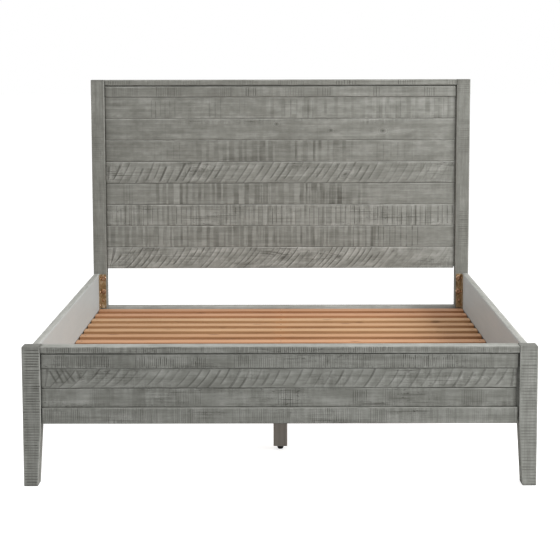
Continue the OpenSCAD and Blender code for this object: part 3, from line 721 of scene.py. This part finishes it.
def sawn_board(
    node,
    axis,
    low,
    high,
    marks,
    counts=(20, 4, 14, 4),
    tongue=None,
    groove=None,
    wear=(1, -1),
    slant=0.0,
    bend=0.0,
    shape=None,
    blocks=(),
    end_ease=1.5 * MM,
    knots=(),
    crossing=(),
    tone=0.0,
    painted=(),
    slot="frame_wood",
    seed=0,
):
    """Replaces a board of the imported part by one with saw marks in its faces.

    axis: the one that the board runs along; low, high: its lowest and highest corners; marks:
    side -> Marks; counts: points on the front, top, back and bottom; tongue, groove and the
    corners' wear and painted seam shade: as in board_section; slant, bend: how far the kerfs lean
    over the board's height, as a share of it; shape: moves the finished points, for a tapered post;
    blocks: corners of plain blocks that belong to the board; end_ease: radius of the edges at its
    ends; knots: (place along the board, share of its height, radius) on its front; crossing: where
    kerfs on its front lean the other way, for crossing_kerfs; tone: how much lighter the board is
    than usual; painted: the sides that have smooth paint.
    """
    rng = np.random.default_rng(seed)
    run, depth_axis, height_axis = BOARD_AXES[axis]
    start, length, tall = low[run], high[run] - low[run], high[height_axis] - low[height_axis]
    section_low, section_high = ((end[depth_axis], end[height_axis]) for end in (low, high))
    section = board_section(section_low, section_high, counts, tongue, groove, wear)
    depth, height, depth_out, height_out, sides, shares, wears = section.T
    kerfs = {side: marks[side].kerfs(length, rng) for side in marks}
    lines = {side: marks[side].bar_line(length, rng) for side in marks}
    places = stations_for(length, kerfs.values(), lines[FRONT], knots, crossing)
    kerf, band, rough, wear_and_seam_shade = np.zeros((4, len(places), len(section)))
    for side, face in marks.items():
        columns = np.nonzero(sides == side)[0]
        rows = shares[columns]
        kerf[:, columns], flank = face.kerf_over(places, rows, tall, kerfs[side], rng)
        band[:, columns] = face.tone_over(places, rows, tall, length, lines[side], rng)
        band[:, columns] += face.scallop * flank
        rough[:, columns] = face.rough_over(places, rows, tall, rng)
    chips = np.clip(noise_1d(places, 0.035, rng) + 0.6 * noise_1d(places, 0.009, rng), -0.4, 1.4)
    rounded = wears != 0
    stretches = 0.6 * noise_1d(places, 0.33, np.random.default_rng(WEAR_AND_SHADE_SEED + seed))
    # Rounded corners: wear where the value is positive, painted seam shade where it is negative
    wear_and_seam_shade[:, rounded] = np.clip(0.6 + 0.5 * chips + stretches, 0, 1)[:, None] * wears[rounded]
    heights = height - low[height_axis]
    knot, flow = knot_marks(knots, places, heights, tall, sides)

    # The kerfs lean over by moving the rings' points along the board
    to_end = np.minimum(places, length - places)
    rise = heights / tall - 0.5
    lean = (slant * rise + bend * (rise**2 - 0.25)) * tall
    leaning = eased(np.clip(to_end / LEAN_IN, 0, 1)) * (1 + 0.3 * noise_1d(places, 0.22, rng))
    along = places[:, None] + leaning[:, None] * lean[None, :]
    if crossing:
        crossed = crossing_kerfs(along, rise[None, :] * tall, crossing, rng)
        kerf = np.maximum(kerf, crossed * (sides == FRONT))

    # The marks, the chips and the rounded ends move them in
    inset = -KERF_DEPTH * kerf + BAR_DEPTH * (band - 1) - KNOT_DEPTH * (knot > 0.7)
    inset[:, rounded] -= CHIP_DEPTH * np.clip(chips, 0, None)[:, None]
    # Painted shade at the boards' ends beside the posts, carried with the kerfs' darkness
    kerf = np.maximum(kerf, END_SHADE * np.exp(-to_end / END_SHADE_REACH)[:, None])
    over = np.clip(end_ease - to_end, 0, end_ease)
    inset -= (end_ease - np.sqrt(end_ease**2 - over**2))[:, None]
    rings = np.zeros((len(places), len(section), 3))
    rings[:, :, run] = start + along
    rings[:, :, depth_axis] = depth + inset * depth_out
    rings[:, :, height_axis] = height + inset * height_out

    name = node + "_board"
    mesh = ring_mesh(name, rings if shape is None else shape(rings))
    shading = {"kerf": kerf, "band": band, "rough": rough, "wear_and_seam_shade": wear_and_seam_shade, "knot": knot, "flow": flow}
    for key, values in shading.items():
        layer = mesh.attributes.new(key, "FLOAT", "POINT")
        layer.data.foreach_set("value", values.ravel().astype(np.float32))
    mesh.materials.append(sawn[axis])
    if painted:
        paint_sides(mesh, painted, sides, rounded, len(places))
    join_blocks(mesh, [block_mesh(name, *block) for block in blocks])
    mesh.polygons.foreach_set("use_smooth", np.ones(len(mesh.polygons), bool))
    mesh.set_sharp_from_angle(angle=SHARP_ANGLE)
    board = bpy.data.objects.new(name, mesh)
    bpy.context.scene.collection.objects.link(board)
    board["seed"] = float(seed)
    board["tone"] = float(tone)
    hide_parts(node)
    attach(board, BODY)


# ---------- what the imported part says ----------


def corners(node):
    """A node's lowest and highest corners as arrays."""
    low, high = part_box(node)
    return np.array(low), np.array(high)


# These repeat the part's joints: their play, the tongues' thickness, the height of the one on a
# plank's edge, and the depth of the groove that takes it
SNUG = 0.05 * MM
TONGUE = 8 * MM
EDGE_TONGUE = 6 * MM
GROOVE = 6.3 * MM
# How far the blocks at a board's ends, which fill its gap to the posts, go into it
BLOCK_IN = 8 * MM
HEAD_POST_LOW = corners("headboard_post_right")[0]
FOOT_POST_LOW, FOOT_POST_HIGH = corners("footboard_post_right")
POST_IN = HEAD_POST_LOW[0]
HEAD_TONGUE_Y = HEAD_POST_LOW[1] + 17 * MM
FOOT_TONGUE_Y = FOOT_POST_LOW[1] + 20 * MM


def panel_board(node, tongue_y, gap, tongue, groove, marks, **more):
    """One board of the headboard or footboard, let into both posts.

    gap: how far its faces stop short of the left and the right post; tongue: its height on the
    top edge, or 0; groove: whether there is one in the bottom edge.
    """
    low, high = corners(node)
    low[0], high[0] = -POST_IN + gap[0], POST_IN - gap[1]
    high[2] -= tongue
    near, far = tongue_y - TONGUE / 2, tongue_y + TONGUE / 2
    foot = low[2] + (GROOVE if groove else EDGE_TONGUE)
    head = high[2] + tongue - SNUG if tongue else high[2] - EDGE_TONGUE
    spans = ((-POST_IN, low[0] + BLOCK_IN), (high[0] - BLOCK_IN, POST_IN)) if any(gap) else ()
    sawn_board(
        node,
        "X",
        low,
        high,
        marks,
        tongue=(near + SNUG, far - SNUG, tongue - SNUG) if tongue else None,
        groove=(near, far, GROOVE) if groove else None,
        blocks=[((x0, near + 2 * SNUG, foot), (x1, far - 2 * SNUG, head)) for x0, x1 in spans],
        **more,
    )


def all_round(front, back=None, edges=PLANED):
    """The marks for a board's four sides."""
    return {FRONT: front, TOP: edges, BACK: back or front, BOTTOM: edges}


# ---------- headboard ----------

panel_board(
    "headboard_cap",
    HEAD_TONGUE_Y,
    gap=(1 * MM, 1 * MM),
    tongue=0,
    groove=True,
    marks=all_round(CAP, BROAD),
    counts=(6, 10, 6, 6),
    tone=-0.04,
    seed=11,
)
panel_board(
    "headboard_upper_rail",
    HEAD_TONGUE_Y,
    gap=(3 * MM, 5 * MM),
    tongue=11 * MM,
    groove=True,
    marks=all_round(RAIL, BROAD),
    counts=(10, 4, 8, 4),
    tone=-0.03,
    seed=12,
)
# Each plank's front, and in what else it differs from the usual board
PLANK_LOOKS = (
    (
        Marks(22 * MM, 0.10, 0.25, (0.2, 0.6), bars=0.55, over=(0.45, 1.1), blots=0.35, painted_light_drift=0.6),
        {"tone": -0.01},
    ),
    (
        Marks(20 * MM, 0.04, 0.70, (0.1, 0.4), bars=0.1, blots=0.3, rough=1.0, rough_from=0.72, painted_light_drift=0.5),
        {"tone": -0.04, "knots": ((0.975, 0.45, 9 * MM), (1.20, 0.42, 11 * MM), (0.74, 0.75, 9 * MM))},
    ),
    (
        Marks(
            30 * MM,
            0.10,
            0.30,
            (0.2, 0.5),
            bar=15 * MM,
            bars=0.8,
            over=(0.27, 0.70),
            blots=0.3,
            painted_light_drift=0.4,
        ),
        {"tone": -0.05},
    ),
    (
        slanted(33 * MM, half=5.2 * MM, ragged=0.12, blots=0.35, rough=1.0, fade=0.78),
        {"slant": 0.58, "bend": -0.12, "knots": ((1.04, 0.42, 14 * MM), (0.98, 0.85, 9 * MM))},
    ),
    (
        Marks(12 * MM, 0.15, 0.45, (0.3, 0.7), bar=14 * MM, bars=0.9, over=(0.14, 0.74)),
        {"tone": -0.02, "wear": (-1, -1)},
    ),
    (
        Marks(
            19 * MM,
            0.60,
            0.04,
            (0.6, 1.0),
            half=2.6 * MM,
            plain=(0.02, 0.1),
            bar=12 * MM,
            bars=0.6,
            rough=1.0,
        ),
        {"tone": 0.055},
    ),
    (
        Marks(24 * MM, 0.30, 0.15, (0.3, 0.8), half=2.8 * MM, bar=12 * MM, bars=0.85, over=(-0.1, 0.8)),
        {},
    ),
    (
        slanted(28 * MM, half=3.9 * MM, blots=0.55, rough=1.0, ragged=0.28, fade=0.80),
        {
            "slant": 0.80,
            "bend": -0.30,
            "tone": 0.055,
            "knots": ((0.76, 0.50, 17 * MM), (1.00, 0.55, 15 * MM), (1.22, 0.8, 8 * MM)),
        },
    ),
)
for i, (front, more) in enumerate(PLANK_LOOKS, 1):
    panel_board(
        f"headboard_plank_{i}",
        HEAD_TONGUE_Y,
        gap=(2 * MM, 7 * MM),
        tongue=EDGE_TONGUE,
        groove=i < len(PLANK_LOOKS),
        marks=all_round(front, BROAD),
        slot="plank_wood",
        seed=20 + i,
        **more,
    )
panel_board(
    "headboard_lower_rail",
    HEAD_TONGUE_Y,
    gap=(0, 0),
    tongue=0,
    groove=False,
    marks=all_round(LIGHT_FACE, BROAD, TOP_FACE),
    counts=(12, 6, 10, 6),
    wear=(1, 1),
    seed=31,
)


def post(node, marks, seed, **more):
    """A post, with the same number of points on each of its four sides."""
    low, high = corners(node)
    sawn_board(node, "Z", low, high, marks, counts=(12, 12, 12, 12), wear=(1, 1), seed=seed, **more)


for side, inner_high, seed in (("left", True, 41), ("right", False, 43)):
    front = post_marks(0.55, 0.10, inner_high, run=0.10, gap=0.16)
    post("headboard_post_" + side, all_round(front, front, SIDE_FACE), seed, tone=-0.07)


# ---------- footboard ----------

TAPER_TOP = corners("footboard_bottom_rail")[0][2]
TOE_W = 45 * MM
POST_W = FOOT_POST_HIGH[0] - FOOT_POST_LOW[0]


def tapered(rings):
    """Draws a footboard post's inner side out towards the toe, below the bottom rail."""
    drop = np.clip((TAPER_TOP - rings[:, :, 2]) / TAPER_TOP, 0, 1)
    outside = np.sign(rings[:, :, 0]) * FOOT_POST_HIGH[0]
    rings[:, :, 0] = outside + (rings[:, :, 0] - outside) * (1 - drop * (1 - TOE_W / POST_W))
    return rings


# Each post's side, whether its inner edge is towards +X, its least kerfs, its tone and its seed
FOOT_POSTS = (("left", True, 0.75, 0.08, 51), ("right", False, 0.25, 0.09, 53))
for side, inner_high, faint, tone, seed in FOOT_POSTS:
    front = post_marks(1.0, faint, inner_high)
    faces = all_round(front, SIDE_FACE, SIDE_FACE)
    post("footboard_post_" + side, faces, seed, tone=tone, shape=tapered, end_ease=3 * MM)

panel_board(
    "footboard_top_rail",
    FOOT_TONGUE_Y,
    gap=(1 * MM, 1 * MM),
    tongue=0,
    groove=True,
    marks=all_round(FOOT_FINE, BROAD, TOP_FACE),
    counts=(7, 10, 6, 6),
    seed=61,
)
panel_board(
    "footboard_upper_rail",
    FOOT_TONGUE_Y,
    gap=(3 * MM, 5 * MM),
    tongue=9 * MM,
    groove=True,
    marks=all_round(FOOT_FINE),
    counts=(12, 4, 8, 4),
    seed=62,
)
panel_board(
    "footboard_plank_upper",
    FOOT_TONGUE_Y,
    gap=(2 * MM, 8 * MM),
    tongue=EDGE_TONGUE,
    groove=True,
    marks=all_round(slanted(33 * MM, half=4.4 * MM, ragged=0.1, blots=0.35, rough=0.8), BROAD),
    counts=(20, 4, 10, 4),
    wear=(1, -2),
    slant=0.75,
    bend=-0.30,
    crossing=(0.035, 0.125, 22 * MM, 0.6),
    slot="plank_wood",
    seed=63,
)
panel_board(
    "footboard_plank_lower",
    FOOT_TONGUE_Y,
    gap=(2 * MM, 9 * MM),
    tongue=EDGE_TONGUE,
    groove=True,
    marks=all_round(FOOT_MOTTLED, BROAD),
    counts=(16, 4, 10, 4),
    wear=(-1, -1),
    slot="plank_wood",
    seed=64,
)
panel_board(
    "footboard_bottom_rail",
    FOOT_TONGUE_Y,
    gap=(3 * MM, 5 * MM),
    tongue=EDGE_TONGUE,
    groove=False,
    marks=all_round(FOOT_FINE, BROAD),
    counts=(14, 6, 10, 6),
    seed=65,
)


# ---------- side rails: sawn outside, painted inside ----------

for side, inner, outer, seed in (("left", BACK, FRONT, 71), ("right", FRONT, BACK, 73)):
    node = "side_rail_" + side
    low, high = corners(node)
    sawn_board(
        node,
        "Y",
        low,
        high,
        {outer: SIDE_FACE, inner: PLAIN, TOP: RAIL_TOP, BOTTOM: PLANED},
        counts=(24, 4, 24, 4),
        wear=(1, 1),
        painted=(inner,),
        slot="rail_paint",
        seed=seed,
    )


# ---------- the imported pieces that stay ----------


def finish_node(node, material, seed=0.0, tone=0.0, warm=0.0):
    """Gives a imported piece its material, and the values that its material reads."""
    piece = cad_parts[node]
    piece.data.materials.clear()
    piece.data.materials.append(material)
    piece["seed"] = float(seed)
    piece["tone"] = float(tone)
    piece["warm"] = float(warm)


def finish_nodes(names, material):
    for name in names:
        finish_node(name, material)


SLAT_COUNT = 14
ENDS = ("front", "rear")
BRACKETS = [f"corner_bracket_{end}_{side}" for end in ("head", "foot") for side in ("left", "right")]
HANGERS = ["beam_hanger_head", "beam_hanger_foot"]
SCREWS = ["bracket_bolts", "bolt_inserts", "pan_head_screws", "countersunk_screws"]

slat_rng = np.random.default_rng(seed=5)
for i in range(1, SLAT_COUNT + 1):
    tone = slat_rng.uniform(-0.1, 0.1)
    warm = slat_rng.uniform(-1, 1)
    finish_node(f"slat_{i:02d}", slat_pine, seed=80 + i, tone=tone, warm=warm)
for i, node in enumerate(("headboard_batten_left", "headboard_batten_right")):
    finish_node(node, sawn["Z"], seed=100 + i)
for i, node in enumerate(("slat_ledge_left", "slat_ledge_right", "centre_beam")):
    finish_node(node, support_pine, seed=110 + i)
finish_nodes(["centre_leg_" + end for end in ENDS], stain)
finish_nodes(BRACKETS + HANGERS, bracket_zinc)
finish_nodes(SCREWS, bolt_zinc)
finish_nodes(["leg_hanger_bolts", "leveller_nuts"], bright_zinc)
finish_nodes(["leveller_stem_" + end for end in ENDS], bright_zinc)
finish_nodes(["leveller_foot_" + end for end in ENDS], plastic)


# ---------- stage, light and camera ----------

FLOOR_ALBEDO = 0.5
# How much the floor glows where the camera sees it
FLOOR_LIFT = 0.76
# How bright the white backdrop is where the camera doesn't see it
WORLD_LIGHT = 0.6
# Each light's name, place, what it points at, its size and its power in watts
SOFT_LIGHTS = (
    ("top_softbox", (0, -0.4, 4.4), (0, 0, 0), (4.4, 4.4), 85),
    ("key_softbox", (3.8, -3.4, 2.6), (0, 0.2, 0.6), (2.2, 2.2), 190),
    ("side_softbox", (5.0, -0.6, 3.2), (0, 0, 0.4), (2.5, 2.5), 180),
    ("fill_softbox", (-5.2, 0.0, 1.5), (0, 0.3, 0.3), (2.5, 2.5), 86),
)
# The image's width, and the focal length in the same unit
FRAME_PX = 560
FOCAL_PX = 1741.2
SENSOR = 36.0
CAMERA_PLACE = (0.0141, -6.5151, 1.3524)
# How far the camera looks down, turns left and leans over, in radians
CAMERA_PITCH = 0.1263
CAMERA_TURN = 0.0024
CAMERA_ROLL = -0.0021


def white_for_camera(tree, base, extra):
    """A strength for a stage surface or backdrop: base, and extra where the camera sees it directly."""
    path = tree.nodes.new("ShaderNodeLightPath")
    add = tree.nodes.new("ShaderNodeMath")
    add.operation = "MULTIPLY_ADD"
    add.inputs[1].default_value = extra
    add.inputs[2].default_value = base
    tree.links.new(path.outputs["Is Camera Ray"], add.inputs[0])
    return add.outputs[0]


def floor():
    """A pale studio floor that stays near white, so that the shadows on it are faint."""
    bpy.ops.mesh.primitive_circle_add(vertices=64, radius=60, fill_type="NGON")
    plane = bpy.context.object
    plane.name = "floor"
    s = Shader("studio_floor", base_color=(FLOOR_ALBEDO,) * 3 + (1,), roughness=0.9)
    s.finish(emission_color=(1, 1, 1, 1), emission_strength=white_for_camera(s.tree, 0.0, FLOOR_LIFT))
    plane.data.materials.append(s.material)


def soft_light(name, place, target, size, watts):
    light = bpy.data.lights.new(name, "AREA")
    light.shape = "RECTANGLE"
    light.size, light.size_y = size
    light.energy = watts
    lamp = bpy.data.objects.new(name, light)
    bpy.context.scene.collection.objects.link(lamp)
    lamp.location = place
    way = np.array(target, float) - np.array(place, float)
    lamp.rotation_euler = (math.atan2(math.hypot(way[0], way[1]), -way[2]), 0, math.atan2(-way[0], way[1]))


def studio():
    world = bpy.data.worlds.new("studio")
    bpy.context.scene.world = world
    world.use_nodes = True
    background = world.node_tree.nodes["Background"]
    background.inputs["Color"].default_value = (1, 1, 1, 1)
    strength = white_for_camera(world.node_tree, WORLD_LIGHT, 1.0 - WORLD_LIGHT)
    world.node_tree.links.new(strength, background.inputs["Strength"])
    for light in SOFT_LIGHTS:
        soft_light(*light)


def camera():
    data = bpy.data.cameras.new("camera")
    data.sensor_width = SENSOR
    data.lens = FOCAL_PX / FRAME_PX * SENSOR
    eye = bpy.data.objects.new("camera", data)
    bpy.context.scene.collection.objects.link(eye)
    aim = Euler((math.pi / 2 - CAMERA_PITCH, 0, CAMERA_TURN)).to_matrix()
    rolled = aim @ Matrix.Rotation(CAMERA_ROLL, 3, "Z")
    eye.location = CAMERA_PLACE
    eye.rotation_euler = rolled.to_euler()
    bpy.context.scene.camera = eye


floor()
studio()
camera()
bpy.context.scene.view_settings.view_transform = "Standard"
